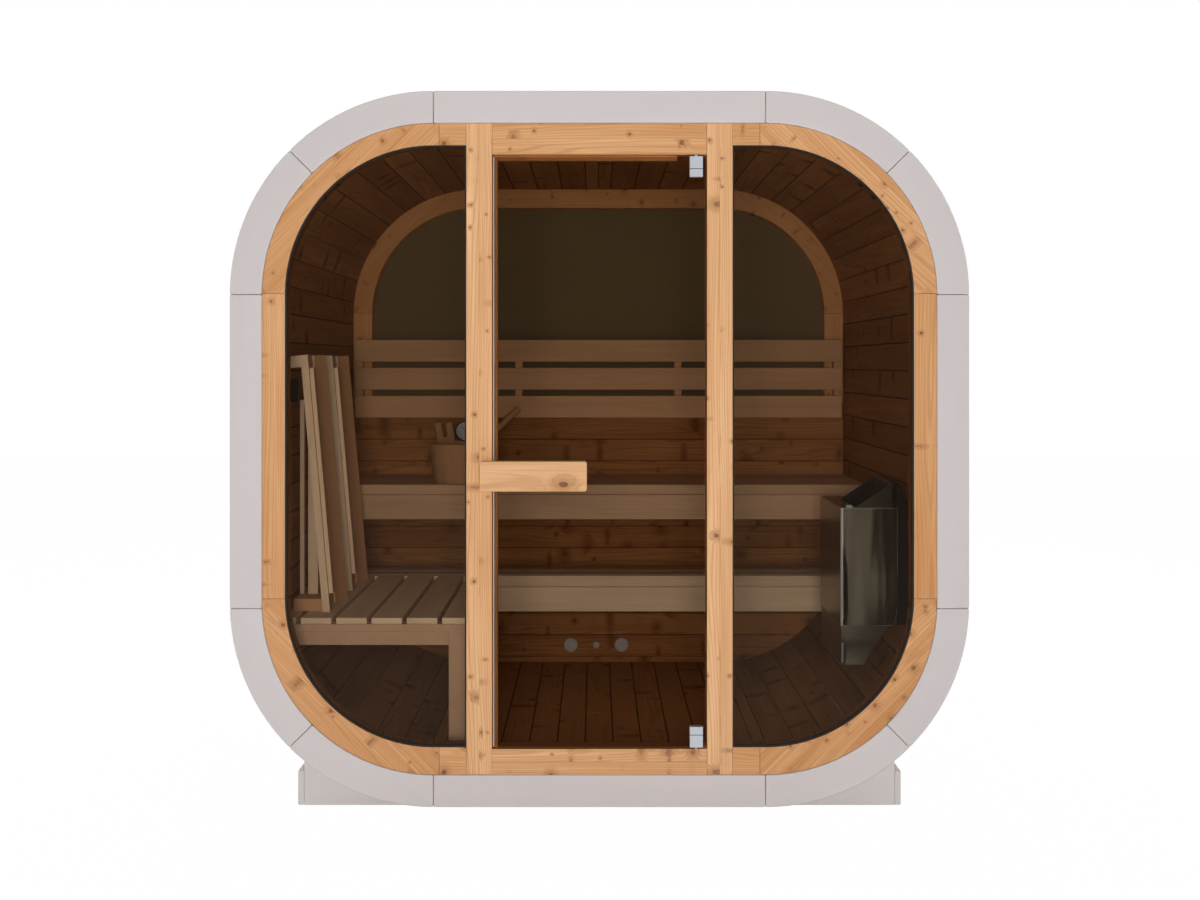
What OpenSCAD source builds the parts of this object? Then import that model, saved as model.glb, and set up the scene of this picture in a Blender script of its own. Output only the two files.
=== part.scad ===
/* [Shell] */
// Width over the end rings
sauna_w = 2070; // [1800:10:2400]
// Height of the end rings
sauna_h = 2005; // [1800:5:2300]
// Depth from the front ring's face to the rear ring's face
sauna_d = 1600; // [1500:10:2200]
// Outer corner radius of the end rings
corner_r = 570; // [450:5:650]
// Radial width of the end rings
ring_face = 90; // [70:1:120]
// Thickness of the end rings, front to back
ring_t = 45; // [28:1:60]
// Thickness of the shell's staves
stave_t = 42; // [28:1:60]
// Staves that turn each corner
corner_staves = 8; // [5:1:12]
// Open joint between two pieces of painted or glued wood
joint = 0.6; // [0.3:0.1:2]
// Clearance of a piece fitted inside the shell
fit = 0.3; // [0.1:0.1:0.8]

/* [Base] */
// Height of the rings above the ground
ring_lift = 12; // [5:1:40]
// Half the length of a cradle board
cradle_half = 838; // [780:1:860]
// Thickness of a cradle board
cradle_t = 45; // [35:1:70]
// Set-back of the cradle boards behind the ring faces
cradle_back = 60; // [60:1:200]
// Height of the skirt boards
skirt_h = 98; // [80:1:140]
// Thickness of the skirt boards
skirt_t = 18; // [15:1:30]

/* [End frames] */
// Thickness of the end frames, front to back
frame_t = 75; // [60:1:100]
// Set-back of the end frames behind the ring faces
frame_inset = 4; // [0:1:12]
// Width of the front frame at the sides
frame_band = 64; // [50:1:90]
// Width of the front frame at the top
frame_top = 62; // [50:1:90]
// Width of the front frame at the bottom
frame_bottom = 77; // [60:1:100]
// Length of the short straight pieces beside the posts
stub_l = 76; // [50:1:110]
// Half the clear width between the door posts
door_half = 301; // [270:1:360]
// Width of a door post
post_w = 72; // [55:1:100]
// Height of the header over the door
header_h = 88; // [60:1:120]
// Height of the sill under the door
sill_h = 72; // [50:1:100]
// Section of the stop strips behind the door
stop_w = 15; // [8:1:20]
// Thickness of the stop strips
stop_t = 20; // [10:1:30]

/* [Glazing] */
// Thickness of every pane
glass_t = 8; // [6:1:12]
// Set-back of a fixed pane behind the frame's face
pane_back = 6; // [3:1:12]
// Width of the black gasket round a fixed pane
gasket_w = 4.5; // [3:0.5:10]
// Thickness of the gasket
gasket_t = 12; // [10:1:18]
// Width of the rear frame
rear_band = 72; // [55:1:100]
// Height of the rear window's lower edge above the floor
rear_glass_z = 1000; // [800:5:1200]

/* [Door] */
// Running gap round the door
door_gap = 6; // [5:0.5:10]
// Set-back of the door glass behind the ring's face
door_back = 8; // [8:1:14]
// Pivot axis, from the middle of the door
hinge_x = 271; // [240:1:275]
// Width of a patch hinge
patch_w = 37; // [32:1:44]
// Height of a patch hinge
patch_h = 58; // [50:1:80]
// Thickness of a patch hinge over the glass
patch_t = 22; // [16:1:24]
// Radius of the pivot pins
pin_r = 5; // [4:0.5:8]
// Depth of the pivot pins in the header and the sill
pin_depth = 14; // [10:1:25]
// Length of the handle
handle_l = 298; // [200:1:340]
// Height of the handle
handle_h = 83; // [60:1:110]
// Thickness of the handle in front of its pad
handle_t = 34; // [25:1:50]
// Left end of the handle, from the middle of the door
handle_x = -333; // [-350:1:-250]
// Height of the handle's middle above the floor
handle_z = 838; // [700:1:1100]
// Clearance of the handle in front of the post
handle_clear = 5; // [5:1:15]
// Corner radius of the handle
handle_r = 7; // [2:1:20]

/* [Benches] */
// Height of the upper bench above the floor
upper_z = 725; // [650:5:900]
// Depth of the upper bench
upper_d = 480; // [400:5:600]
// Slats of the upper bench
upper_slats = 5; // [3:1:7]
// Height of the lower bench and the side bench above the floor
lower_z = 404; // [350:1:500]
// Depth of the lower bench
lower_d = 199; // [150:1:350]
// Slats of the lower bench
lower_slats = 2; // [2:1:4]
// Gap between two slats
slat_gap = 13; // [5:1:20]
// Thickness of the slats
slat_t = 28; // [18:1:32]
// Height of the upper bench's nosing
upper_nose = 35; // [28:1:50]
// Height of the lower bench's nosing
lower_nose = 39; // [28:1:50]
// Height of the panel under a nosing
panel_h = 87; // [60:1:120]
// Thickness of the nosing and of the panel under it
board_t = 28; // [18:1:40]
// Height of one backrest slat
back_slat_h = 84; // [60:1:110]
// Gap between the backrest slats
back_gap = 23; // [15:1:40]
// Height of the backrest's lower edge above the floor
back_z = 945; // [850:1:1100]
// Thickness of the backrest slats
back_t = 20; // [15:1:30]
// Thickness of the battens behind the backrest
batten_t = 40; // [20:1:50]

/* [Side bench] */
// Distance from the ring's face to the side bench
side_y = 206; // [150:1:300]
// Right edge of the side bench, from the middle
side_x = -372; // [-450:1:-340]
// Width of a side bench slat
side_slat_w = 91; // [60:1:110]
// Thickness of a side bench slat
side_slat_t = 19; // [15:1:28]
// Gap between two side bench slats
side_gap = 13; // [8:1:20]
// Height of the batten under the slats
rail_h = 21; // [18:1:30]
// Height of the apron under that batten
apron_h = 41; // [30:1:80]
// Width of the leg
leg_w = 58; // [40:1:80]

/* [Heater] */
// Distance from the ring's face to the heater
heater_y = 333; // [250:1:450]
// Width of the heater, front to back
heater_w = 402; // [350:1:460]
// Projection of the heater from its wall plate
heater_proj = 172; // [140:1:220]
// Height of the heater's underside above the floor
heater_z = 357; // [250:1:450]
// Height of the heater's straight body
heater_h = 357; // [300:1:420]
// Rise of the hopper's back over the body
hopper_h = 75; // [40:1:100]
// Sheet thickness of the hopper
sheet_t = 2; // [1.5:0.5:4]
// Depth of the open hopper
hopper_depth = 120; // [80:1:200]
// Depth of the wall plate behind the heater
plate_t = 41; // [30:1:80]
// Height of the control box under the heater
box_h = 120; // [80:1:160]
// Height over which the casing's lower back corner curves in
tuck_h = 70; // [40:1:120]
// How far that corner curves in
tuck_d = 14; // [8:1:30]

/* [Things inside] */
// Top radius of the bucket
bucket_r = 126; // [100:1:140]
// Height of the bucket
bucket_h = 139; // [110:1:180]
// Radius of the dial
dial_r = 40; // [30:1:60]
// Radius of the pail's foot
bucket_foot = 107; // [85:1:120]
// Rise of the pail's ears over its rim
ear_h = 72; // [40:1:90]
// Slope of the ladle in the pail, in degrees
ladle_slope = 30; // [25:1:38]
// Length of the ladle's wooden grip
grip_l = 175; // [120:1:200]
// Length of a leaning slatted panel
lean_l = 777; // [600:1:900]
// Turn of a leaning panel's second slat, in degrees
lean_turn = 20; // [0:1:30]

/* [Hidden] */

$fn = 96;
spruce = "#C99A68";
pale_wood = "#C8AE8C";
painted = "#C9C2C2";

// Handle front in front of the ring's face, which sets the frame's middle
handle_front = frame_inset - handle_clear - handle_t;
// The ring's front face in the part's frame: the whole box is centred on y = 0
front_y = -(sauna_d + handle_front) / 2;

// The shell's inner outline
in_half = sauna_w / 2 - ring_face;
in_r = corner_r - ring_face;
floor_z = ring_lift + ring_face;
ceil_z = ring_lift + sauna_h - ring_face;
centre_x = in_half - in_r;
centre_low = floor_z + in_r;
centre_high = ceil_z - in_r;
stave_angle = 90 / (corner_staves + 1);
half_facet = in_r * tan(stave_angle / 2);
half_back = (in_r + stave_t) * tan(stave_angle / 2);
// How far below the arcs' start the lower side joints of the rings lie
joint_drop = 14;

// The base
cradle_reach = (in_r + stave_t) / cos(stave_angle / 2);
cradle_top = centre_low - sqrt(pow(cradle_reach, 2) - pow(cradle_half - centre_x, 2));

// Front to back
stave_y0 = ring_t;
stave_y1 = sauna_d - ring_t;
frame_y0 = frame_inset;
frame_y1 = frame_y0 + frame_t;
rear_y0 = sauna_d - frame_inset - frame_t;
rear_y1 = sauna_d - frame_inset;
bench_y0 = rear_y0 - upper_d;

// The front frame's clear outline
open_half = in_half - frame_band;
open_r = in_r - frame_band;
open_low = floor_z + frame_bottom;
open_high = ceil_z - frame_top;
side_low = open_low + open_r;
side_high = open_high - open_r;
post_out = door_half + post_w;
stub_x = post_out + stub_l;
door_low = floor_z + sill_h;
door_high = ceil_z - header_h;

// The door
glass_half = door_half - door_gap;
glass_low = door_low + door_gap;
glass_high = door_high - door_gap;
glass_y = door_back;
pivot_y = glass_y + glass_t / 2;
pin_clear = 0.3;
plate_over = 1;

// Panes
pane_y = frame_y0 + pane_back;
boards_top = floor_z + rear_glass_z;
plug_r = 26.5;
plug_t = 10;
plug_gap = 97.5;
plug_z = 68;
plug_x = -8;

// Benches
upper_top = floor_z + upper_z;
lower_top = floor_z + lower_z;
bearer_x = 280;
bearer_w = 45;
bearer_h = 60;
back_half = in_half - 15;
batten_w = 28;
batten_x = 319;
apron_set = 3;

// Side bench: whole slats from its free edge, and what is left of the width
side_pitch = side_slat_w + side_gap;
side_slats = floor((in_half + side_x) / side_pitch);

// Heater
edge_r = 10;
heater_back = in_half - plate_t;
heater_x = heater_back - heater_proj;
heater_low = floor_z + heater_z;
heater_top = heater_low + heater_h;
tuck_r = (pow(tuck_h, 2) + pow(tuck_d, 2)) / (2 * tuck_d);
flange_w = 45;
back_flange_w = 15;
hopper_front = heater_x + flange_w;
hopper_back = heater_back - back_flange_w;
hopper_side = 3;
hopper_w = 280;
plate_lip = 4;
box_inset = 4;
box_foot = 71;
box_back_set = 12;
box_back = heater_back - tuck_d - box_back_set;

// The pail and its ladle
bucket_x = -487;
bucket_set = 131;
bucket_y = bench_y0 + bucket_set;
bucket_t = 14;
hoop_h = 8;
hoop_t = 1.5;
hoop_low = 4;
hoop_drop = 49;
hoops = [hoop_low, bucket_h - hoop_drop];
ear_w = 24;
ear_t = 11;
ear_gap = 21;
ear_foot = 34;
ear_lean = -12;
ear_turn = 125;
ear_peg = 23;
cup_r = 38;
cup_t = 3;
cup_set = 50;
rod_r = 3.5;
rod_from = cup_r - cup_set - cup_t;
rod_rest = bucket_h + (rod_r + fit) / cos(ladle_slope);
rod_low = rod_rest - (bucket_r - bucket_t - rod_from) * tan(ladle_slope);
grip_r = 12.5;
grip_from = 24;
ladle_turn = 53;

// The dial
dial_x = -512;
dial_z = 892;
dial_t = 18;
dial_rim = 5;

// The leaning panels
lean_slat_w = 75;
lean_slat_t = 22;
lean_stile_w = 45;
lean_pitch = 172;
cleat_t = 12;
cleat_set = 12;
cleat_low = 54;
cleat_high = 41;
lean_batten = 45;
lean_batten_h = 35;
lean_foot_d = 90;
lean_foot_h = 37;
lean_foot_l = 200;
spare_wall = [22, 47];
spare_w = [13, 30];
spare_set = 110;
spare_t = 20;
spare_h = 598;
lean_angle = 5;
lean_set = 98;
lean_next = 404;

// ---------- outlines, drawn in X and Z and pushed along Y ----------

// Turns a drawing in X and Y into one in X and Z, from y0 to y1
module run(y0, y1) {
    translate([0, front_y + y1, 0]) rotate([90, 0, 0]) linear_extrude(y1 - y0) children();
}

// A block from its lowest to its highest corner, with y counted from the ring's face
module block(lo, hi) {
    translate([lo[0], front_y + lo[1], lo[2]]) cube(hi - lo);
}

// A rectangle with round corners, from its half width, its heights and its radius
module rounded(half, low, high, r) {
    union() {
        translate([-half, low + r]) square([2 * half, high - low - 2 * r]);
        translate([-half + r, low]) square([2 * half - 2 * r, high - low]);
        for (x = [-half + r, half - r], z = [low + r, high - r]) translate([x, z]) circle(r);
    }
}

// The clear room inside the shell, less a clearance
module room(gap = 0) {
    rounded(in_half - gap, floor_z + gap, ceil_z - gap, in_r - gap);
}

// The front frame's clear outline, grown by a margin
module opening(grow = 0) {
    rounded(open_half + grow, open_low - grow, open_high + grow, open_r + grow);
}

// The rear window's clear outline, grown by a margin
module rear_opening(grow = 0) {
    intersection() {
        rounded(in_half - rear_band + grow, floor_z + rear_band - grow, ceil_z - rear_band + grow,
            in_r - rear_band + grow);
        translate([-in_half, floor_z + rear_glass_z - grow]) square([2 * in_half, sauna_h]);
    }
}

// The shell's many-sided outline, its flats at a radius r from the corners' middles
function shell_points(r) = [for (c = [0 : 3], k = [0 : corner_staves])
    let (a = 90 * c + (k + 0.5) * stave_angle, reach = r / cos(stave_angle / 2))
    [(c == 0 || c == 3 ? centre_x : -centre_x) + reach * cos(a),
        (c < 2 ? centre_high : centre_low) + reach * sin(a)]];

// ---------- shell ----------

// One flat side of the shell, mitred at both ends to meet the corner staves
module side_profile(half) {
    polygon([[-half - half_facet + joint, 0], [half + half_facet - joint, 0],
        [half + half_back - joint, stave_t], [-half - half_back + joint, stave_t]]);
}

// One stave of a corner, at the given angle round the corner's middle
module stave_profile(angle) {
    rotate(angle) translate([in_r, 0])
        polygon([[0, -half_facet + joint / 2], [0, half_facet - joint / 2],
            [stave_t, half_back - joint / 2], [stave_t, -half_back + joint / 2]]);
}

module wall_profile() {
    translate([in_half, (centre_low + centre_high) / 2]) rotate(-90)
        side_profile((centre_high - centre_low) / 2);
}

module wall_right() {
    color(painted) run(stave_y0, stave_y1) wall_profile();
}

module wall_left() {
    color(painted) mirror([1, 0, 0]) run(stave_y0, stave_y1) wall_profile();
}

module roof() {
    color(painted) run(stave_y0, stave_y1) translate([0, ceil_z]) side_profile(centre_x);
}

module floor() {
    color(painted) run(stave_y0, stave_y1) translate([0, floor_z]) mirror([0, 1])
        side_profile(centre_x);
}

module corner_staves_right() {
    color(painted) for (k = [1 : corner_staves]) {
        run(stave_y0, stave_y1) translate([centre_x, centre_high]) stave_profile(k * stave_angle);
        run(stave_y0, stave_y1) translate([centre_x, centre_low]) stave_profile(-k * stave_angle);
    }
}

module corner_staves_left() {
    mirror([1, 0, 0]) corner_staves_right();
}

// ---------- end rings ----------

// A ring of twelve pieces: four straights, and eight curved halves split on the diagonals
module ring_profile() {
    difference() {
        rounded(sauna_w / 2, ring_lift, ring_lift + sauna_h, corner_r);
        room();
        for (x = [-centre_x, centre_x]) translate([x - joint / 2, 0]) square([joint, 2 * sauna_h]);
        for (z = [centre_low - joint_drop, centre_high]) translate([-sauna_w, z - joint / 2])
            square([2 * sauna_w, joint]);
        for (sx = [-1, 1]) {
            translate([sx * centre_x, centre_high]) rotate(90 - 45 * sx)
                translate([0, -joint / 2]) square([corner_r + 1, joint]);
            translate([sx * centre_x, centre_low]) rotate(-90 + 45 * sx)
                translate([0, -joint / 2]) square([corner_r + 1, joint]);
        }
    }
}

module front_ring() {
    color(painted) run(0, ring_t) ring_profile();
}

module rear_ring() {
    color(painted) run(sauna_d - ring_t, sauna_d) ring_profile();
}

// ---------- base ----------

// A cradle board: flat on the ground, with its top cut to the shell's underside
module cradle_profile() {
    difference() {
        translate([-cradle_half, 0]) square([2 * cradle_half, cradle_top]);
        polygon(shell_points(in_r + stave_t + fit));
    }
}

module cradles() {
    color(painted) {
        run(cradle_back, cradle_back + cradle_t) cradle_profile();
        run(sauna_d - cradle_back - cradle_t, sauna_d - cradle_back) cradle_profile();
    }
}

module base_skirts() {
    color(painted) for (sx = [0, 1]) mirror([sx, 0, 0])
        block([cradle_half, cradle_back, 0], [cradle_half + skirt_t, sauna_d - cradle_back, skirt_h]);
}

// ---------- front frame ----------

// The band between the shell and the frame's clear outline
module front_band() {
    difference() {
        room(fit);
        opening();
    }
}

// Keeps what lies outside |x| = x0 and between two heights, and cuts no joint of its own
module outside(x0, z0, z1) {
    for (x = [-sauna_w, x0]) translate([x, z0]) square([sauna_w - x0, z1 - z0]);
}

module front_frame_straights() {
    color(spruce) run(frame_y0, frame_y1) {
        intersection() {
            front_band();
            outside(open_half - frame_band, side_low + joint / 2, side_high - joint / 2);
        }
        intersection() {
            front_band();
            difference() {
                square([2 * (stub_x - joint / 2), 3 * sauna_h], center = true);
                square([2 * (post_out + joint / 2), 3 * sauna_h], center = true);
            }
        }
    }
}

module front_frame_corners() {
    color(spruce) run(frame_y0, frame_y1) intersection() {
        front_band();
        union() {
            outside(stub_x + joint / 2, 0, side_low - joint / 2);
            outside(stub_x + joint / 2, side_high + joint / 2, sauna_h);
        }
    }
}

module post() {
    block([door_half, frame_y0, floor_z + fit], [post_out, frame_y1, ceil_z - fit]);
}

module door_post_right() {
    color(spruce) post();
}

module door_post_left() {
    color(spruce) mirror([1, 0, 0]) post();
}

// The hole for a pivot pin, from a given height
module pin_hole(z, depth) {
    translate([hinge_x, front_y + pivot_y, z]) cylinder(r = pin_r + pin_clear, h = depth);
}

module door_header() {
    color(spruce) difference() {
        block([-door_half + joint / 2, frame_y0, door_high],
            [door_half - joint / 2, frame_y1, ceil_z - fit]);
        pin_hole(door_high - 1, pin_depth + pin_clear + 1);
    }
}

module door_sill() {
    color(spruce) difference() {
        block([-door_half + joint / 2, frame_y0, floor_z + fit],
            [door_half - joint / 2, frame_y1, door_low]);
        pin_hole(door_low - pin_depth - pin_clear, pin_depth + pin_clear + 1);
    }
}

// Two strips that the door closes against, on its free side and over it
module door_stops() {
    y0 = glass_y + glass_t + door_gap;
    color(spruce) {
        block([-door_half, y0, door_low], [-door_half + stop_w, y0 + stop_t, door_high]);
        block([-door_half + stop_w + joint, y0, door_high - stop_w],
            [hinge_x - patch_w - stop_w, y0 + stop_t, door_high]);
    }
}

// ---------- side windows ----------

// The clear shape beside the right post, grown by a margin
module side_opening(grow = 0) {
    intersection() {
        opening(grow);
        translate([post_out - grow, 0]) square([sauna_w, 2 * sauna_h]);
    }
}

module side_window_right() {
    color("#4A4238", 0.5) run(pane_y, pane_y + glass_t) side_opening(-fit);
}

module side_window_left() {
    mirror([1, 0, 0]) side_window_right();
}

// One loop of gasket in the plane of a pane
module gasket_profile() {
    difference() {
        side_opening(-fit);
        side_opening(-gasket_w);
    }
}

// Two loops to a pane, one on each of its faces
module window_gaskets() {
    thick = (gasket_t - glass_t) / 2;
    color("#1A1918") for (sx = [0, 1]) mirror([sx, 0, 0]) {
        run(pane_y - thick, pane_y) gasket_profile();
        run(pane_y + glass_t, pane_y + glass_t + thick) gasket_profile();
    }
}

// ---------- door ----------

module door_glass() {
    color("#4A4238", 0.5)
        block([-glass_half, glass_y, glass_low], [glass_half, glass_y + glass_t, glass_high]);
}

// A patch hinge: two clamp plates over the corner of the glass, and its pivot pin
module patch(z0, pin_z) {
    difference() {
        block([hinge_x - patch_w / 2, pivot_y - patch_t / 2, z0],
            [hinge_x + patch_w / 2, pivot_y + patch_t / 2, z0 + patch_h]);
        block([-glass_half - 1, glass_y, glass_low], [glass_half + 1, glass_y + glass_t, glass_high]);
    }
    translate([hinge_x, front_y + pivot_y, pin_z]) cylinder(r = pin_r, h = pin_depth + door_gap);
}

module door_hinge_top() {
    color("silver") patch(glass_high - patch_h + plate_over, glass_high);
}

module door_hinge_bottom() {
    color("silver") patch(glass_low - plate_over, glass_low - pin_depth - door_gap);
}

// The handle's outline from the front, with round corners
module handle_profile() {
    translate([handle_x + handle_l / 2, 0])
        rounded(handle_l / 2, floor_z + handle_z - handle_h / 2, floor_z + handle_z + handle_h / 2,
            handle_r);
}

// A wooden block in front of the post, with a pad on its back that stands on the glass
module door_handle() {
    pad_x = -door_half + 2 * door_gap + handle_clear;
    back = frame_inset - handle_clear;
    color("#D6B48A") {
        run(handle_front, back) handle_profile();
        run(back - 1, glass_y) intersection() {
            handle_profile();
            translate([pad_x, 0]) square([handle_l, 2 * sauna_h]);
        }
    }
}

// ---------- rear wall ----------

module rear_band_profile() {
    difference() {
        intersection() {
            room(fit);
            translate([-sauna_w, boards_top]) square([2 * sauna_w, sauna_h]);
        }
        rear_opening();
    }
}

// Two upright pieces, two curved corners and a head over the rear window
module rear_frame() {
    color(spruce) run(rear_y0, rear_y1) difference() {
        rear_band_profile();
        translate([-sauna_w, centre_high - joint / 2]) square([2 * sauna_w, joint]);
        for (x = [-centre_x, centre_x]) translate([x - joint / 2, centre_high])
            square([joint, sauna_h]);
    }
}

module rear_window() {
    color("#372B1C") run(rear_y1 - pane_back - glass_t, rear_y1 - pane_back) rear_opening(-fit);
}

module rear_wall_boards() {
    color(spruce) run(rear_y0, rear_y0 + stave_t) intersection() {
        room(fit);
        translate([-sauna_w, 0]) square([2 * sauna_w, boards_top - fit]);
    }
}

// Two large plugs with a small one between them, low on the rear wall
module vent_plugs() {
    z = floor_z + plug_z;
    color("#8F8A80") for (p = [[-plug_gap, plug_r], [0, plug_r / 2], [plug_gap, plug_r]])
        translate([plug_x + p[0], front_y + rear_y0, z]) rotate([90, 0, 0])
            cylinder(r = p[1], h = plug_t);
}

// ---------- benches ----------

// Cuts what it holds to the room's outline, between two depths
module in_room(y0, y1) {
    intersection() {
        run(y0, y1) room(fit);
        children();
    }
}

// The slats behind a bench's front board: n of them in a depth d
module bench_slats(top, d, n) {
    w = (d - board_t) / n - slat_gap;
    for (k = [0 : n - 1]) {
        y = bench_y0 + board_t + slat_gap + k * (w + slat_gap);
        in_room(bench_y0, rear_y0)
            block([-in_half, y, top - slat_t], [in_half, y + w, top]);
    }
}

// A bench's front: the nosing, and the panel under it
module bench_front(top, nose) {
    in_room(bench_y0, bench_y0 + board_t) {
        block([-in_half, bench_y0, top - nose], [in_half, bench_y0 + board_t, top]);
        block([-in_half, bench_y0, top - nose - joint - panel_h],
            [in_half, bench_y0 + board_t, top - nose - joint]);
    }
}

// Bearers under the slats, from the front boards back to a depth
module bench_bearers(top, d) {
    for (x = [-in_half, -bearer_x - bearer_w, bearer_x, in_half - bearer_w])
        in_room(bench_y0, rear_y0)
            block([x, bench_y0 + board_t, top - slat_t - bearer_h],
                [x + bearer_w, bench_y0 + d, top - slat_t]);
}

module upper_bench_slats() {
    color(pale_wood) bench_slats(upper_top, upper_d, upper_slats);
}

module upper_bench_front() {
    color(pale_wood) bench_front(upper_top, upper_nose);
}

module upper_bench_bearers() {
    color(pale_wood) bench_bearers(upper_top, upper_d);
}

module lower_bench_slats() {
    color(pale_wood) bench_slats(lower_top, lower_d, lower_slats);
}

module lower_bench_front() {
    color(pale_wood) bench_front(lower_top, lower_nose);
}

module lower_bench_bearers() {
    color(pale_wood) bench_bearers(lower_top, lower_d);
}

module backrest_slats() {
    y1 = rear_y0 - batten_t;
    color(pale_wood) for (k = [0 : 2]) {
        z = floor_z + back_z + k * (back_slat_h + back_gap);
        block([-back_half, y1 - back_t, z], [back_half, y1, z + back_slat_h]);
    }
}

module backrest_battens() {
    z0 = floor_z + back_z;
    z1 = z0 + 3 * back_slat_h + 2 * back_gap;
    color(pale_wood) for (x = [-back_half, -batten_x, batten_x - batten_w, back_half - batten_w])
        block([x, rear_y0 - batten_t, z0], [x + batten_w, rear_y0, z1]);
}

// ---------- side bench ----------

module side_bench_slats() {
    color(pale_wood) in_room(side_y, bench_y0) {
        for (k = [0 : side_slats - 1])
            block([side_x - side_slat_w - k * side_pitch, side_y, lower_top - side_slat_t],
                [side_x - k * side_pitch, bench_y0, lower_top]);
        block([-in_half, side_y, lower_top - side_slat_t],
            [side_x - side_slats * side_pitch, bench_y0, lower_top]);
    }
}

// Rails at the front, the back and both sides under the slats, and the leg at the free corner
module side_bench_frame() {
    top = lower_top - side_slat_t;
    low = top - rail_h - apron_h;
    leg_x = side_x - side_gap - leg_w;
    color(pale_wood) in_room(side_y, bench_y0) {
        block([-in_half, side_y, top - rail_h], [side_x - side_gap, side_y + leg_w, top]);
        block([-in_half, side_y + apron_set, low],
            [leg_x + 1, side_y + board_t, top - rail_h + 1]);
        block([-in_half, bench_y0 - board_t, low], [side_x - side_gap, bench_y0, top]);
        block([-in_half, side_y + board_t - 1, low], [-in_half + leg_w + board_t, bench_y0, top]);
        block([leg_x, side_y + leg_w - 1, low], [leg_x + board_t, bench_y0, top]);
        block([leg_x, side_y, 0], [leg_x + leg_w, side_y + leg_w, top - rail_h + 1]);
    }
}

// ---------- heater ----------

// The casing from above: round edges at the front, square ones at the wall
module casing_plan() {
    translate([heater_x + edge_r, heater_y]) square([heater_proj - edge_r, heater_w]);
    translate([heater_x, heater_y + edge_r]) square([2 * edge_r, heater_w - 2 * edge_r]);
    for (y = [heater_y + edge_r, heater_y + heater_w - edge_r])
        translate([heater_x + edge_r, y]) circle(edge_r);
}

// The casing from the side: its lower back corner curves in as the shell does
module casing_side() {
    translate([heater_x, heater_low + tuck_h]) square([heater_proj, heater_h - tuck_h]);
    intersection() {
        translate([heater_x, heater_low]) square([heater_proj, tuck_h + 1]);
        translate([heater_back - tuck_r, heater_low + tuck_h]) circle(tuck_r);
    }
}

module heater_body() {
    color("#6B6A66") difference() {
        intersection() {
            translate([0, front_y, heater_low]) linear_extrude(heater_h) casing_plan();
            run(heater_y, heater_y + heater_w) casing_side();
        }
        hopper_block(fit, hopper_h);
    }
}

// The hopper's outer shape: a well in the casing whose rim climbs to the wall
module hopper_block(grow, over) {
    run(heater_y + hopper_side - grow, heater_y + hopper_side + hopper_w + grow)
        polygon([[hopper_front - grow, heater_top - hopper_depth],
            [hopper_back + grow, heater_top - hopper_depth],
            [hopper_back + grow, heater_top + hopper_h + over],
            [hopper_front - grow, heater_top + over]]);
}

// An open sheet-metal trough, its sides cut to the slope of the rim
module heater_hopper() {
    color("#1C1B1A") difference() {
        hopper_block(0, 0);
        run(heater_y + hopper_side + sheet_t, heater_y + hopper_side + hopper_w - sheet_t)
            translate([hopper_front + sheet_t, heater_top - hopper_depth + sheet_t])
                square([hopper_back - hopper_front - 2 * sheet_t, hopper_depth + 2 * hopper_h]);
    }
}

// The control box under the casing, cut away at the back where the shell curves in
module heater_box() {
    color("#5A5955") run(heater_y + edge_r, heater_y + heater_w - edge_r)
        polygon([[heater_x + box_inset, heater_low - box_h], [heater_x + box_foot, heater_low - box_h],
            [box_back, heater_low], [heater_x + box_inset, heater_low]]);
}

// The dark plate that stands the casing off the wall, its top sloped down from the hopper's
module heater_plate() {
    color("#2A2826") run(heater_y + edge_r, heater_y + heater_w - edge_r) intersection() {
        room(fit);
        polygon([[heater_back, heater_low], [in_half, heater_low],
            [in_half, heater_top + plate_lip], [heater_back, heater_top + hopper_h]]);
    }
}

// ---------- things inside ----------

// The pail's outer radius at a height over its foot
function pail_r(z) = bucket_foot + (bucket_r - bucket_foot) * z / bucket_h;

// One ear: two raised staves side by side that lean the same way, with a block between them
module ear() {
    for (side = [-1, 1])
        translate([bucket_r - bucket_t + 1, side * (ear_w + ear_gap) / 2, bucket_h - ear_foot])
            rotate([ear_lean, 0, 0]) translate([0, -ear_w / 2, 0]) {
                cube([ear_t, ear_w, ear_h + ear_foot]);
                if (side < 0) cube([ear_t, ear_w + ear_gap, ear_foot + ear_peg]);
            }
}

// A tapered wooden pail on the upper bench, with two hoops and two ears
module bucket() {
    color(pale_wood) translate([bucket_x, front_y + bucket_y, upper_top]) {
        rotate_extrude() {
            polygon([[0, 0], [bucket_foot, 0], [bucket_r, bucket_h],
                [bucket_r - bucket_t, bucket_h], [bucket_foot - bucket_t, bucket_t], [0, bucket_t]]);
            for (z = hoops) polygon([[pail_r(z) - 1, z], [pail_r(z) + hoop_t, z],
                [pail_r(z + hoop_h) + hoop_t, z + hoop_h], [pail_r(z + hoop_h) - 1, z + hoop_h]]);
        }
        for (turn = [ear_turn, ear_turn + 180]) rotate(turn) ear();
    }
}

// A ladle that leans on the pail's rim: a cup, a straight rod and a thick wooden grip
module ladle() {
    rod_l = (bucket_r + grip_from - rod_from) / cos(ladle_slope);
    color("#A98A62") translate([bucket_x, front_y + bucket_y, upper_top]) rotate(ladle_turn) {
        translate([-cup_set, 0, bucket_t + fit]) difference() {
            cylinder(r = cup_r, h = rod_low + rod_r - bucket_t);
            translate([0, 0, cup_t]) cylinder(r = cup_r - cup_t, h = rod_low + rod_r);
        }
        translate([rod_from, 0, rod_low]) rotate([0, 90 - ladle_slope, 0]) {
            cylinder(r = rod_r, h = rod_l + 1);
            translate([0, 0, rod_l]) cylinder(r = grip_r, h = grip_l);
        }
    }
}

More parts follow.
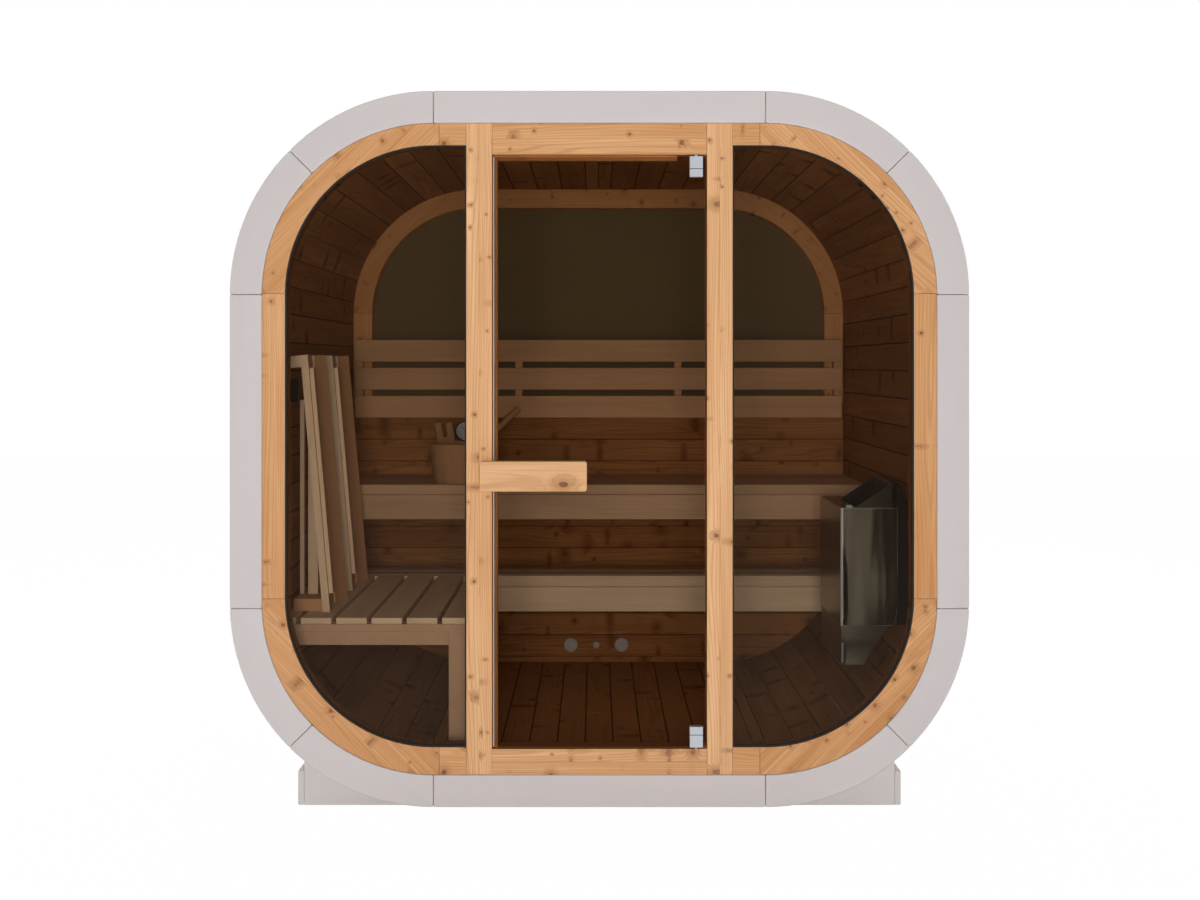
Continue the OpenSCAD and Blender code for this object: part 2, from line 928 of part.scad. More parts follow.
// A round dial on the rear wall, under the backrest
module dial() {
    color("#2A2A2A") translate([dial_x, front_y + rear_y0, floor_z + dial_z]) rotate([90, 0, 0])
        difference() {
            cylinder(r = dial_r, h = dial_t);
            translate([0, 0, dial_t - dial_rim / 2]) cylinder(r = dial_r - dial_rim, h = dial_rim);
        }
}

// ---------- slatted panels that lean on the left wall ----------

// A panel in its own plane: a stile with a cleat on its side, and a turned slat, on a cross batten
module slatted_panel() {
    cube([lean_slat_t, lean_stile_w, lean_l]);
    translate([lean_slat_t - 1, cleat_set, cleat_low])
        cube([cleat_t + 1, lean_stile_w - cleat_set, lean_l - cleat_low - cleat_high]);
    translate([lean_slat_t / 2, lean_pitch + lean_slat_w / 2, 0]) rotate(-lean_turn)
        translate([-lean_slat_t / 2, -lean_slat_w / 2, 0]) cube([lean_slat_t, lean_slat_w, lean_l]);
    translate([-lean_batten, 0, lean_l - lean_batten_h])
        cube([lean_batten + 1, lean_pitch + lean_slat_w, lean_batten_h]);
}

// Leans a panel from the side bench towards the left wall: its slats' feet are cut level. A low
// cross piece lies behind them and carries two thin uprights
module leaning(y) {
    foot_x = -in_half + fit + lean_batten * cos(lean_angle) + lean_l * sin(lean_angle);
    low = lower_top + fit;
    intersection() {
        translate([foot_x, front_y + y, low - lean_slat_t * tan(lean_angle)])
            rotate([0, -lean_angle, 0]) slatted_panel();
        block([-in_half, y - lean_slat_w, low], [0, y + 2 * lean_pitch, low + 2 * lean_l]);
    }
    block([foot_x - lean_foot_d, y + slat_gap, low],
        [foot_x + 1, y + slat_gap + lean_foot_l, low + lean_foot_h]);
    for (k = [0, 1])
        block([spare_wall[k] - in_half, y + spare_set, low + lean_foot_h - 1],
            [spare_wall[k] - in_half + spare_w[k], y + spare_set + spare_t,
                low + lean_foot_h + spare_h]);
}

module leaning_panel_front() {
    color(pale_wood) leaning(side_y + lean_set);
}

module leaning_panel_rear() {
    color(pale_wood) leaning(side_y + lean_set + lean_next);
}

// ---------- what is drawn ----------

cradles();
base_skirts();
wall_left();
wall_right();
roof();
floor();
corner_staves_left();
corner_staves_right();
front_ring();
rear_ring();
front_frame_straights();
front_frame_corners();
door_post_left();
door_post_right();
door_header();
door_sill();
door_stops();
side_window_left();
side_window_right();
window_gaskets();
door_glass();
door_handle();
door_hinge_top();
door_hinge_bottom();
rear_frame();
rear_window();
rear_wall_boards();
vent_plugs();
upper_bench_slats();
upper_bench_front();
upper_bench_bearers();
lower_bench_slats();
lower_bench_front();
lower_bench_bearers();
backrest_slats();
backrest_battens();
side_bench_slats();
side_bench_frame();
heater_body();
heater_hopper();
heater_box();
heater_plate();
bucket();
ladle();
dial();
leaning_panel_front();
leaning_panel_rear();
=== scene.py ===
"""A square sauna cabin with round corners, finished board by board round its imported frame."""

import math
import random
from contextlib import contextmanager

import bpy
import numpy as np
from bpy.props import FloatProperty, FloatVectorProperty, IntProperty, PointerProperty
from bpy.types import NodeSocket, Operator, Panel, PropertyGroup
from mathutils import Matrix, Vector


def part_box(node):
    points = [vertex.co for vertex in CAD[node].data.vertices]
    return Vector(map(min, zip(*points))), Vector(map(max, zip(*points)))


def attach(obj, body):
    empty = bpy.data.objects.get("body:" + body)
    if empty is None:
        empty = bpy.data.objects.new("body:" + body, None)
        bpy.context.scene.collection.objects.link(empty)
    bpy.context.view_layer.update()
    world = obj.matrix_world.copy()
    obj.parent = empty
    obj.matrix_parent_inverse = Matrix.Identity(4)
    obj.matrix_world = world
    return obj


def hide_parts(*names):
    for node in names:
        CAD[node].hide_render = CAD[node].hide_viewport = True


bl_info = {
    "name": "Cube Sauna",
    "version": (1, 0, 0),
    "blender": (4, 5, 0),
    "location": "View3D > Sidebar > Sauna",
    "description": "Finishes a packed sauna cabin with boards, glass, benches and a heater",
    "category": "Object",
}

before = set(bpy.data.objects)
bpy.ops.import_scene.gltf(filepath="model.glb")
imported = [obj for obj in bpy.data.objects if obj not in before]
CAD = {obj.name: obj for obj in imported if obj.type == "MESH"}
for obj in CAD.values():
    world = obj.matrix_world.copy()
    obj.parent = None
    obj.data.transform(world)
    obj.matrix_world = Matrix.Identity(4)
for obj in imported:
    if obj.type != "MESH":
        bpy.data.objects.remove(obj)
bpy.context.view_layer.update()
X, Y, Z = Vector((1, 0, 0)), Vector((0, 1, 0)), Vector((0, 0, 1))

# The cabin's main lines, from the frame
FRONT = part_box("front_ring")[0].y
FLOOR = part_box("floor")[1].z
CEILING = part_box("roof")[0].z
# The corner staves turn round four lines, at this radius inside
TURN_R = 0.48
TURN_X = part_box("wall_right")[0].x - TURN_R
TURN_LOW = FLOOR + TURN_R
TURN_HIGH = CEILING - TURN_R
# Half the width and half the thickness of a board's tongue
TONGUE = 0.003
# Width of the painted highlight along the bent edges of the heater's sheets
BEND = 0.008


def linear(code):
    """An sRGB hex colour as linear red, green and blue."""
    parts = [int(code[i : i + 2], 16) / 255 for i in (1, 3, 5)]
    return tuple(c / 12.92 if c <= 0.04045 else ((c + 0.055) / 1.055) ** 2.4 for c in parts)


def length(name, text, default):
    """A length in metres that a user may change."""
    return FloatProperty(name=name, description=text, default=default, min=0, unit="LENGTH")


def colour(name, text, code):
    """A colour that a user may change."""
    return FloatVectorProperty(
        name=name, description=text, default=linear(code), min=0, max=1, subtype="COLOR"
    )


class SaunaSizes(PropertyGroup):
    """Sizes of the boards and of the timber's grain."""

    board_w: length("Board width", "Cover width of a board of the walls, roof and floor", 0.087)
    floor_w: length("Floor board width", "Cover width of a board of the floor", 0.085)
    rear_w: length("Rear board width", "Cover width of a board of the rear wall", 0.0838)
    rear_first: length("Lowest rear board", "Height of the strip under the rear boards", 0.022)
    centre_w: length("Middle ceiling board", "Width of the two boards along the ridge", 0.046)
    board_gap: length("Board joint", "Open joint between two boards", 0.0008)
    board_edge: length("Board edge", "Chamfer on a board's long edges", 0.0024)
    ring_edge: length("Ring edge", "Roundover on the painted rings", 0.0035)
    frame_edge: length("Frame edge", "Roundover on the end frames", 0.0015)
    slat_edge: length("Slat edge", "Roundover on the bench slats", 0.003)
    growth: length("Growth rings", "Distance between two growth rings", 0.0072)
    knot_cell: length("Knot spacing", "Mean distance between two places for a knot", 0.066)
    strip_w: length("Glued strip", "Width of a strip in the glued posts and arcs", 0.041)
    pail_staves: IntProperty(name="Pail staves", description="Staves round the pail", default=17)


class SaunaColours(PropertyGroup):
    """Colours of the finishes."""

    paint: colour("Paint", "Warm grey paint on the rings, the shell and the base", "#CBC3C2")
    spruce: colour("Spruce", "Early wood of the oiled spruce frames", "#E6B88A")
    spruce_dark: colour("Dark spruce", "Late wood of the oiled spruce frames", "#B67B45")
    lining: colour("Lining", "Early wood of the heat-treated lining", "#B87A46")
    lining_dark: colour("Dark lining", "Late wood of the heat-treated lining", "#6E3A17")
    rear: colour("Rear frame", "Early wood of the rear frame", "#D6985F")
    bench: colour("Bench", "Sanded alder of the benches", "#CEA27B")
    # Also the paler wood that stands for painted light on the panels' front edges
    planed: colour("Side bench", "Pale alder of the side bench", "#EBC9A0")
    pail: colour("Pail", "Redder staves of the pail", "#C08A5C")
    back: colour("Backrest", "Redder alder of the backrest and the aprons", "#D19C6E")
    bench_dark: colour("Dark bench", "Darker streaks in the alder", "#AC7F57")
    handle: colour("Handle", "Light wood of the door handle", "#E0B68B")
    knot: colour("Knot", "Knots in the spruce", "#5E2C0E")
    glass: colour("Glass", "Body tint of the bronze glass", "#140C06")
    rear_glass: colour("Rear glass", "Body tint of the rear window", "#6C5634")
    # The steel's warm brown tint is a painted reflection of the wood round the heater
    steel: colour("Steel", "Polished casing of the heater", "#776C59")
    hinge: colour("Hinge", "Satin patch hinges", "#C4C8CC")


# ---------- finishes ----------

def add(tree, kind, inputs=None, out=0, **settings):
    """Adds a shader node with its settings, values and links, and returns one of its outputs."""
    node = tree.nodes.new("ShaderNode" + kind)
    for key, value in settings.items():
        setattr(node, key, value)
    for key, value in (inputs or {}).items():
        if isinstance(value, NodeSocket):
            tree.links.new(value, node.inputs[key])
        else:
            node.inputs[key].default_value = value
    return node.outputs[out]


def maths(tree, operation, *values, **settings):
    """A number worked out from others."""
    return add(tree, "Math", dict(enumerate(values)), operation=operation, **settings)


def vectors(tree, operation, *values, out=0):
    """A vector worked out from others, or its length as the output Value."""
    return add(tree, "VectorMath", dict(enumerate(values)), out, operation=operation)


def noise(tree, vector, scale, detail=2.0, out=0, **inputs):
    """Soft noise, or its colour as the output Color."""
    inputs = {"Vector": vector, "Scale": scale, "Detail": detail, **inputs}
    return add(tree, "TexNoise", inputs, out)


def blend(tree, factor, first, second):
    """Two colours mixed by a factor."""
    return add(tree, "Mix", {"Factor": factor, 6: first, 7: second}, 2, data_type="RGBA")


def bump(tree, strength, distance, height):
    """The surface's direction where a relief lifts it."""
    return add(tree, "Bump", {"Strength": strength, "Distance": distance, "Height": height})


def position(tree):
    """A point's place in the cabin's frame."""
    return add(tree, "TexCoord", out="Object")


def ranged(tree, value, start, end, low, high, kind="LINEAR"):
    """A value's range from start to end laid over the range from low to high."""
    ends = {"From Min": start, "From Max": end, "To Min": low, "To Max": high}
    return add(tree, "MapRange", {"Value": value, **ends}, interpolation_type=kind)


def surface(tree, colour, roughness, **inputs):
    """The shader of a surface. Further inputs have _ for a blank in their names."""
    more = {key.replace("_", " "): value for key, value in inputs.items()}
    return add(tree, "BsdfPrincipled", {"Base Color": colour, "Roughness": roughness, **more})


def chosen(name):
    """A colour that the user may have changed."""
    return getattr(bpy.context.scene.sauna_colours, name)


def shade(values, factor=1.0):
    """A colour with its alpha, made lighter or darker by a factor."""
    return (*(c * factor for c in values), 1.0)


def board_lines(tree):
    """A board's own coordinates, its tone, and where its glued strips meet."""
    parts = ("grain", "Vector"), ("tone", "Fac"), ("ply", "Fac")
    return [add(tree, "Attribute", attribute_name=name, out=out) for name, out in parts]


def pail_lines(tree):
    """The same for the pail, whose staves stand round its axis."""
    low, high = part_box("bucket")
    axis = (-(low.x + high.x) / 2, -(low.y + high.y) / 2, 0)
    centred = add(tree, "Mapping", {"Vector": position(tree), "Location": axis})
    x, y, z = add(tree, "SeparateXYZ", {0: centred}).node.outputs
    turn = maths(tree, "ARCTAN2", y, x)
    staves = bpy.context.scene.sauna_sizes.pail_staves
    ply = maths(tree, "MULTIPLY", turn, staves / math.tau)
    round_it = maths(tree, "MULTIPLY", turn, (high.x - low.x) / 2)
    grain = add(tree, "CombineXYZ", {0: z, 1: round_it, 2: 0.05})
    strip = maths(tree, "FLOOR", ply)
    return grain, add(tree, "TexWhiteNoise", {"W": strip}, noise_dimensions="1D"), ply


def timber(
    tree, light, dark, knots, rings, roughness,
    glue=0.35, growth=1.0, spot=None, lines=board_lines,
):
    """Planed wood: growth rings round a pith that wanders, fine fibres, knots and glued strips.

    light and dark name the colours of early and late wood. knots is the share of places that
    hold a knot, rings is how strongly late wood shows, glue is how dark a joint between two
    strips is, growth makes knots and their halos larger, spot is the place and the radius of
    one more knot, and lines gives the coordinates.
    """
    sizes = bpy.context.scene.sauna_sizes
    light, dark = chosen(light), chosen(dark)
    cells = 1 / sizes.knot_cell / growth
    grain, tone, ply = lines(tree)
    # Each glued strip is another piece of the tree
    seed = maths(tree, "MULTIPLY_ADD", tone, 37.0, maths(tree, "FLOOR", ply))
    own = add(tree, "TexWhiteNoise", {"W": seed}, noise_dimensions="1D")
    along = add(tree, "CombineXYZ", {0: maths(tree, "MULTIPLY", own, 40.0)})
    grain = vectors(tree, "ADD", grain, along)
    # Knots lie in cells, run through the board, and have ragged rims
    ragged = noise(tree, grain, 110.0, out="Color")
    ragged = vectors(tree, "MULTIPLY", ragged, (0.007, 0.007, 0.0))
    cell = vectors(tree, "ADD", grain, ragged)
    spots = add(tree, "TexVoronoi", {"Vector": cell, "Scale": cells}, voronoi_dimensions="2D")
    spots = spots.node.outputs
    chance = add(tree, "SeparateColor", {0: spots["Color"]}).node.outputs
    there = maths(tree, "LESS_THAN", chance[0], knots)
    size = ranged(tree, maths(tree, "POWER", chance[1], 2.5), 0.0, 1.0, 0.03, 0.115)
    size = maths(tree, "MAXIMUM", maths(tree, "MULTIPLY", size, there), 0.0001)
    # A branch that the saw met lengthwise shows as a pale spike across the board
    spike = add(tree, "CombineXYZ", {0: 1.0, 1: ranged(tree, chance[2], 0.15, 0.5, 0.28, 1.0)})
    local = vectors(tree, "SUBTRACT", cell, spots["Position"])
    local = vectors(tree, "MULTIPLY", local, (1.0, 1.0, 0.0))
    local = vectors(tree, "MULTIPLY", local, spike)
    far = maths(tree, "MULTIPLY", vectors(tree, "LENGTH", local, out="Value"), cells)
    far = maths(tree, "DIVIDE", far, size)
    if spot:
        here = vectors(tree, "SUBTRACT", position(tree), spot[0])
        here = vectors(tree, "MULTIPLY", here, (0.6, 0.0, 1.0))
        here = vectors(tree, "ADD", here, ragged)
        here = maths(tree, "DIVIDE", vectors(tree, "LENGTH", here, out="Value"), spot[1])
        far = maths(tree, "MINIMUM", far, here)
    core = ranged(tree, far, 0.75, 1.2, 1.0, 0.0, "SMOOTHSTEP")
    # Some knots are dark all through, others only a little browner than the wood
    core = maths(tree, "MULTIPLY", core, ranged(tree, chance[2], 0.0, 0.7, 0.45, 1.0))
    core = maths(tree, "MULTIPLY", core, ranged(tree, far, 0.3, 0.9, 0.7, 1.0))
    halo = ranged(tree, far, 0.9, 4.6, 1.0, 0.0, "SMOOTHSTEP")
    # Growth rings round a pith that wanders slowly along the board and swings round knots
    slow = vectors(tree, "MULTIPLY", grain, (0.08, 1.0, 1.0))
    wander = noise(tree, slow, 11.0, 1.5)
    flat = vectors(tree, "MULTIPLY", grain, (0.0, 1.0, 1.0))
    radius = vectors(tree, "LENGTH", flat, out="Value")
    radius = maths(tree, "MULTIPLY_ADD", wander, 0.1, radius)
    radius = maths(tree, "MULTIPLY_ADD", halo, 0.01, radius)
    wave = maths(tree, "SINE", maths(tree, "MULTIPLY", radius, math.tau / sizes.growth))
    late = maths(tree, "MULTIPLY", ranged(tree, wave, 0.3, 1.0, 0.0, 1.0), rings)
    # Fibres 6 mm wide and broader streaks, coarser than real fibres so that they show
    fine = vectors(tree, "MULTIPLY", grain, (3.0, 165.0, 165.0))
    fibre = noise(tree, fine, 1.0, 4.0, Roughness=0.6)
    blotch = noise(tree, vectors(tree, "MULTIPLY", grain, (1.3, 16.0, 16.0)), 1.0)
    amount = maths(tree, "MULTIPLY_ADD", blotch, 0.9, -0.35)
    amount = maths(tree, "MULTIPLY_ADD", tone, 0.45, amount)
    streak = maths(tree, "MULTIPLY_ADD", fibre, 0.9, -0.45)
    amount = maths(tree, "ADD", amount, streak, use_clamp=True)
    body = blend(tree, amount, shade(light), shade(dark))
    body = blend(tree, late, body, shade(dark, 0.8))
    body = blend(tree, maths(tree, "MULTIPLY", halo, 0.55), body, shade(dark, 0.62))
    body = blend(tree, core, body, shade(chosen("knot")))
    # A thin dark line where two strips are glued; at the edges of boards with open joints it is
    # dirt and painted shade in the joint
    joint = ranged(tree, maths(tree, "PINGPONG", ply, 0.5), 0.004, 0.022, glue, 0.0)
    body = blend(tree, joint, body, shade(dark, 0.25))
    relief = maths(tree, "ADD", late, fibre)
    normal = bump(tree, 0.3, 0.0005, relief)
    # Only oiled wood has a sheen
    gloss = 0.5 if roughness < 0.55 else 0.04
    return surface(tree, body, roughness, Normal=normal, Specular_IOR_Level=gloss)


def oiled_spruce(tree):
    """Heat-treated spruce with a clear oil: honey brown, dark small knots, a low sheen."""
    return timber(tree, "spruce", "spruce_dark", 0.45, 0.45, 0.52)


def rear_spruce(tree):
    """Heat-treated spruce of the rear frame: lighter than the boards round it."""
    return timber(tree, "rear", "lining", 0.4, 0.3, 0.6)


def lining_spruce(tree):
    """Heat-treated spruce boards without oil: deep brown, calm, matt."""
    return timber(tree, "lining", "lining_dark", 0.3, 0.25, 0.62, 0.85, 1.5)


def knotty_lining(tree):
    """The same boards where they are chosen for their knots."""
    return timber(tree, "lining", "lining_dark", 0.8, 0.4, 0.62, 0.85, 1.7)


def sanded_alder(tree):
    """Sanded alder: even, pinkish and nearly without knots, so that it stays cool to sit on."""
    return timber(tree, "bench", "bench_dark", 0.0, 0.1, 0.6)


def pale_alder(tree):
    """Sanded alder from the outside of the trunk: the same, but paler. Its paleness is partly
    painted light: on the panels' front edges it stands for the lamp's light on them, and on the
    side bench it adds to a paler wood.
    """
    return timber(tree, "planed", "bench", 0.0, 0.1, 0.6)


def red_alder(tree):
    """Sanded alder from nearer the heart: the same, but redder."""
    return timber(tree, "back", "bench_dark", 0.0, 0.1, 0.6)


def planed_pine(tree):
    """Light planed pine of the handle, sanded smooth, with an oval knot."""
    low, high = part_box("door_handle")
    spot = (low.x + (high.x - low.x) * 0.8, low.y, low.z + (high.z - low.z) * 0.24), 0.0085
    return timber(tree, "handle", "spruce_dark", 0.0, 0.3, 0.5, spot=spot)


def pail_wood(tree):
    """Pine staves of the pail, sanded round."""
    return timber(tree, "pail", "bench_dark", 0.0, 0.15, 0.6, lines=pail_lines)


def painted_spruce(tree):
    """Satin outdoor paint on planed spruce: the fibres just show through as fine ridges."""
    paint = chosen("paint")
    grain, tone, ply = board_lines(tree)
    fibre = noise(tree, vectors(tree, "MULTIPLY", grain, (4.0, 240.0, 240.0)), 1.0, 3.0)
    blotch = noise(tree, vectors(tree, "MULTIPLY", grain, (2.5, 14.0, 14.0)), 1.0)
    amount = maths(tree, "MULTIPLY_ADD", fibre, 0.5, -0.2)
    amount = maths(tree, "MULTIPLY_ADD", blotch, 0.6, amount)
    amount = maths(tree, "MULTIPLY_ADD", tone, 0.35, amount, use_clamp=True)
    body = blend(tree, amount, shade(paint), shade(paint, 0.9))
    # A dark line at each board's edges: dirt and painted shade in the open joint
    joint = ranged(tree, maths(tree, "PINGPONG", ply, 0.5), 0.0, 0.02, 0.6, 0.0)
    body = blend(tree, joint, body, shade(paint, 0.3))
    return surface(tree, body, 0.48, Normal=bump(tree, 0.25, 0.0004, fibre))


def smudges(tree, scale, low, high):
    """Roughness that varies a little, as wiping leaves it."""
    return ranged(tree, noise(tree, position(tree), scale, 3.0), 0.0, 1.0, low, high)


def bronze_glass(tree):
    """Bronze-tinted float glass: clear enough to look through, with sharp reflections."""
    tint = shade(chosen("glass"))
    rough = smudges(tree, 3.0, 0.015, 0.04)
    return surface(tree, tint, rough, Alpha=0.19, Specular_IOR_Level=0.012)


def grey_glass(tree):
    """The fixed panes: the same glass, with a greyer body that is a painted reflection, lighter
    and greyer towards the ground.
    """
    rough = smudges(tree, 3.0, 0.015, 0.04)
    height = add(tree, "SeparateXYZ", {0: position(tree)}, out="Z")
    # Lighter and greyer towards the ground
    towards_ground = ranged(tree, height, 0.3, 1.0, 1.0, 0.0)
    body = blend(tree, towards_ground, shade(linear("#241A10")), shade(linear("#37322B")))
    return surface(tree, body, rough, Alpha=0.2, Specular_IOR_Level=0.06)


def rear_glass(tree):
    """Dark bronze glass of the rear window, which hides what is behind it."""
    tint = shade(chosen("rear_glass"))
    rough = smudges(tree, 3.0, 0.4, 0.5)
    return surface(tree, tint, rough, Alpha=0.95, Specular_IOR_Level=0.03)


def plain(tree, code, metallic, low, high, scale=40.0, relief=0.0):
    """An even finish whose roughness and fine relief vary."""
    rough = smudges(tree, scale, low, high)
    here = position(tree)
    normal = bump(tree, relief, 0.0002, noise(tree, here, 900.0))
    tint = linear(code) if isinstance(code, str) else code
    body = blend(tree, noise(tree, here, scale / 2), shade(tint), shade(tint, 0.86))
    return surface(tree, body, rough, Metallic=metallic, Normal=normal)


def studio_paper(tree):
    """Pale paper, white to the eye but for the shadow that falls on it."""
    share = maths(tree, "MULTIPLY", looked_at(tree), 0.992)
    cloud = noise(tree, position(tree), 2.0)
    tint = blend(tree, cloud, shade(linear("#F4F3F1")), shade(linear("#F7F6F5")))
    glow = add(tree, "Emission", {"Color": (1, 1, 1, 1), "Strength": 1.0})
    return add(tree, "MixShader", {0: share, 1: surface(tree, tint, 0.9), 2: glow})


def studio_air(tree):
    """White to the camera and in reflections, softer as a light."""
    soft = add(tree, "Background", {"Color": (1, 1, 1, 1), "Strength": 0.1})
    white = add(tree, "Background", {"Color": (1, 1, 1, 1), "Strength": 1.0})
    return add(tree, "MixShader", {0: looked_at(tree), 1: soft, 2: white})


def looked_at(tree):
    """1 for a ray that comes from the camera, a reflection or a pane, else 0."""
    path = add(tree, "LightPath").node.outputs
    seen = maths(tree, "MAXIMUM", path["Is Camera Ray"], path["Is Glossy Ray"])
    return maths(tree, "MAXIMUM", seen, path["Is Transmission Ray"])


def rubber_gasket(tree):
    """Black EPDM rubber: matt, with a faint bloom."""
    return plain(tree, "#151413", 0.0, 0.6, 0.75, 60.0, 0.15)


def clear_silicone(tree):
    """Milky silicone of the door seal."""
    return plain(tree, "#C2B8AE", 0.0, 0.35, 0.5, 60.0, 0.05)


def satin_steel(tree):
    """Satin stainless steel of the patch hinges."""
    return plain(tree, chosen("hinge"), 1.0, 0.26, 0.38, 120.0, 0.1)


def polished_steel(tree):
    """Polished stainless steel of the heater's casing, a little wavy as thin sheet is. Its warm
    brown tint is a painted reflection of the wood round it.
    """
    upright = vectors(tree, "MULTIPLY", position(tree), (22.0, 22.0, 2.5))
    normal = bump(tree, 0.5, 0.006, noise(tree, upright, 1.0, 1.0))
    steel = shade(chosen("steel"))
    return surface(tree, steel, smudges(tree, 12.0, 0.2, 0.3), Metallic=1.0, Normal=normal)


def brushed_steel(tree):
    """The same steel, brushed, on the control box; its lighter warm colour is a painted
    reflection that sets it off from the casing.
    """
    return plain(tree, "#968B76", 1.0, 0.3, 0.45, 60.0, 0.1)


def bright_edge(tree):
    """Bent and cut edges of the sheet, lighter than the flats: a painted highlight."""
    return plain(tree, "#E4E0D6", 0.5, 0.25, 0.35, 60.0, 0.05)


def blued_steel(tree):
    """Dark brown steel of the hopper's outer sheets, with a soft sheen."""
    return plain(tree, "#574A3D", 1.0, 0.38, 0.5, 30.0, 0.1)


def black_enamel(tree):
    """Black heat-proof enamel on sheet steel: deep and a little glossy."""
    return plain(tree, "#15100C", 0.0, 0.28, 0.42, 30.0, 0.1)


def zinc_screw(tree):
    """Zinc-plated screw heads."""
    return plain(tree, "#8E8B85", 1.0, 0.35, 0.5, 200.0, 0.1)


def vent_plastic(tree):
    """Moulded grey-beige plastic of the vent plugs."""
    return plain(tree, "#BDB19F", 0.0, 0.45, 0.6, 80.0, 0.1)


def dial_rim(tree):
    """Moulded black plastic round the dial."""
    return plain(tree, "#17181A", 0.0, 0.3, 0.4, 80.0, 0.05)


def dial_face(tree):
    """Printed light face of the dial."""
    return plain(tree, "#D2D0CA", 0.0, 0.4, 0.5, 80.0, 0.0)


def shaded(owner, kind, make):
    """Gives a material or a world the shader that a recipe makes."""
    owner.use_nodes = True
    tree = owner.node_tree
    tree.nodes.clear()
    output = tree.nodes.new("ShaderNodeOutput" + kind)
    tree.links.new(make(tree), output.inputs["Surface"])
    return owner


def finish(make):
    """The material of a recipe, under the recipe's name. It is made only once."""
    known = bpy.data.materials.get(make.__name__)
    return known or shaded(bpy.data.materials.new(make.__name__), "Material", make)


# ---------- making pieces ----------


def only(obj):
    """Selects one object alone and makes it active."""
    bpy.ops.object.select_all(action="DESELECT")
    obj.select_set(True)
    bpy.context.view_layer.objects.active = obj
    return obj


@contextmanager
def editing(obj):
    """Edit mode on one object, with all of its mesh selected."""
    only(obj)
    bpy.ops.object.mode_set(mode="EDIT")
    bpy.ops.mesh.select_all(action="SELECT")
    yield
    bpy.ops.object.mode_set(mode="OBJECT")


def twin(obj, name=None):
    """A copy of an object with its own mesh."""
    copy = bpy.data.objects.new(name or obj.name, obj.data.copy())
    bpy.context.collection.objects.link(copy)
    return copy


def joined(pieces, name):
    """Joins pieces into one object of that name."""
    only(pieces[0])
    for piece in pieces[1:]:
        piece.select_set(True)
    if len(pieces) > 1:
        bpy.ops.object.join()
    pieces[0].name = pieces[0].data.name = name
    return pieces[0]


def cast(name, *nodes):
    """Copies CAD nodes into one object, with its doubles merged and its flat faces whole."""
    obj = joined([twin(CAD[node], name) for node in nodes], name)
    with editing(obj):
        bpy.ops.mesh.customdata_custom_splitnormals_clear()
        bpy.ops.mesh.remove_doubles(threshold=0.00001)
        bpy.ops.mesh.dissolve_limited(angle_limit=math.radians(0.5))
    obj.data.materials.clear()
    return obj


def block(name, low, high):
    """A box between two corners, with its place in its mesh."""
    low, high = Vector(low), Vector(high)
    bpy.ops.object.select_all(action="DESELECT")
    bpy.ops.mesh.primitive_cube_add(size=1, location=(low + high) / 2, scale=high - low)
    obj = bpy.context.object
    obj.name = obj.data.name = name
    bpy.ops.object.transform_apply(location=True, rotation=True, scale=True)
    return obj


def soften(obj, width, segments=2):
    """Rounds the sharp edges, and keeps the flat faces flat under smooth shading."""
    only(obj)
    bevel = obj.modifiers.new("soft_edges", "BEVEL")
    bevel.width = width
    bevel.segments = segments
    bevel.limit_method = "ANGLE"
    bevel.angle_limit = math.radians(40)
    bpy.ops.object.modifier_apply(modifier=bevel.name)
    bpy.ops.object.shade_smooth_by_angle(angle=math.radians(50))
    weighted = obj.modifiers.new("flat_faces", "WEIGHTED_NORMAL")
    weighted.keep_sharp = True
    bpy.ops.object.modifier_apply(modifier=weighted.name)
    return obj


def pressed(sheet, depth):
    """Presses a sheet's front in a little beside its left edge, below the first third.

    A thin polished sheet is never flat, and its waves show in what it reflects.
    """
    front = min(vertex.co.y for vertex in sheet.data.vertices)
    corners = [vertex.co for vertex in sheet.data.vertices if vertex.co.y < front + 0.001]
    left, right = min(co.x for co in corners), max(co.x for co in corners)
    foot, top = min(co.z for co in corners), max(co.z for co in corners)
    # The grid is finer beside the left edge, where the sheet bends most
    columns = (0.04, 0.08, 0.12, 0.17, 0.23, 0.3, 0.4, 0.5, 0.6, 0.7, 0.8, 0.9)
    rows = [step / 18 for step in range(1, 18)]
    for axis, low, high, shares in ((X, left, right, columns), (Z, foot, top, rows)):
        for share in shares:
            with editing(sheet):
                bpy.ops.mesh.bisect(plane_co=axis * (low + (high - low) * share), plane_no=axis)
    for vertex in sheet.data.vertices:
        if vertex.co.y < front + 0.001:
            across = (vertex.co.x - left) / (right - left)
            down = (top - vertex.co.z) / (top - foot)
            near = math.sin(math.pi / 2 * min(across / 0.1, (1 - across) / 0.9, 1))
            # The hopper stands 3 mm behind the upper third
            low = min(max((down - 0.34) / 0.3, 0), 1)
            press = 0.2 * min(down * 4, 1) + 0.8 * low * low * (3 - 2 * low)
            vertex.co.y += depth * near * (press - 0.8 * (max(down - 0.7, 0) / 0.3) ** 2)
    return sheet


def cut(obj, point, normal):
    """Cuts off what lies behind a plane, and closes the cut."""
    with editing(obj):
        bpy.ops.mesh.bisect(plane_co=point, plane_no=normal, use_fill=True, clear_inner=True)


def sawn(slab, axis, places, gap):
    """Saws a slab into boards at places along an axis, and returns the boards."""
    pieces = []
    for low, high in zip(places, places[1:]):
        piece = twin(slab)
        if low > places[0]:
            cut(piece, axis * (low + gap / 2), axis)
        if high < places[-1]:
            cut(piece, axis * (high - gap / 2), -axis)
        pieces.append(piece)
    bpy.data.objects.remove(slab)
    return pieces


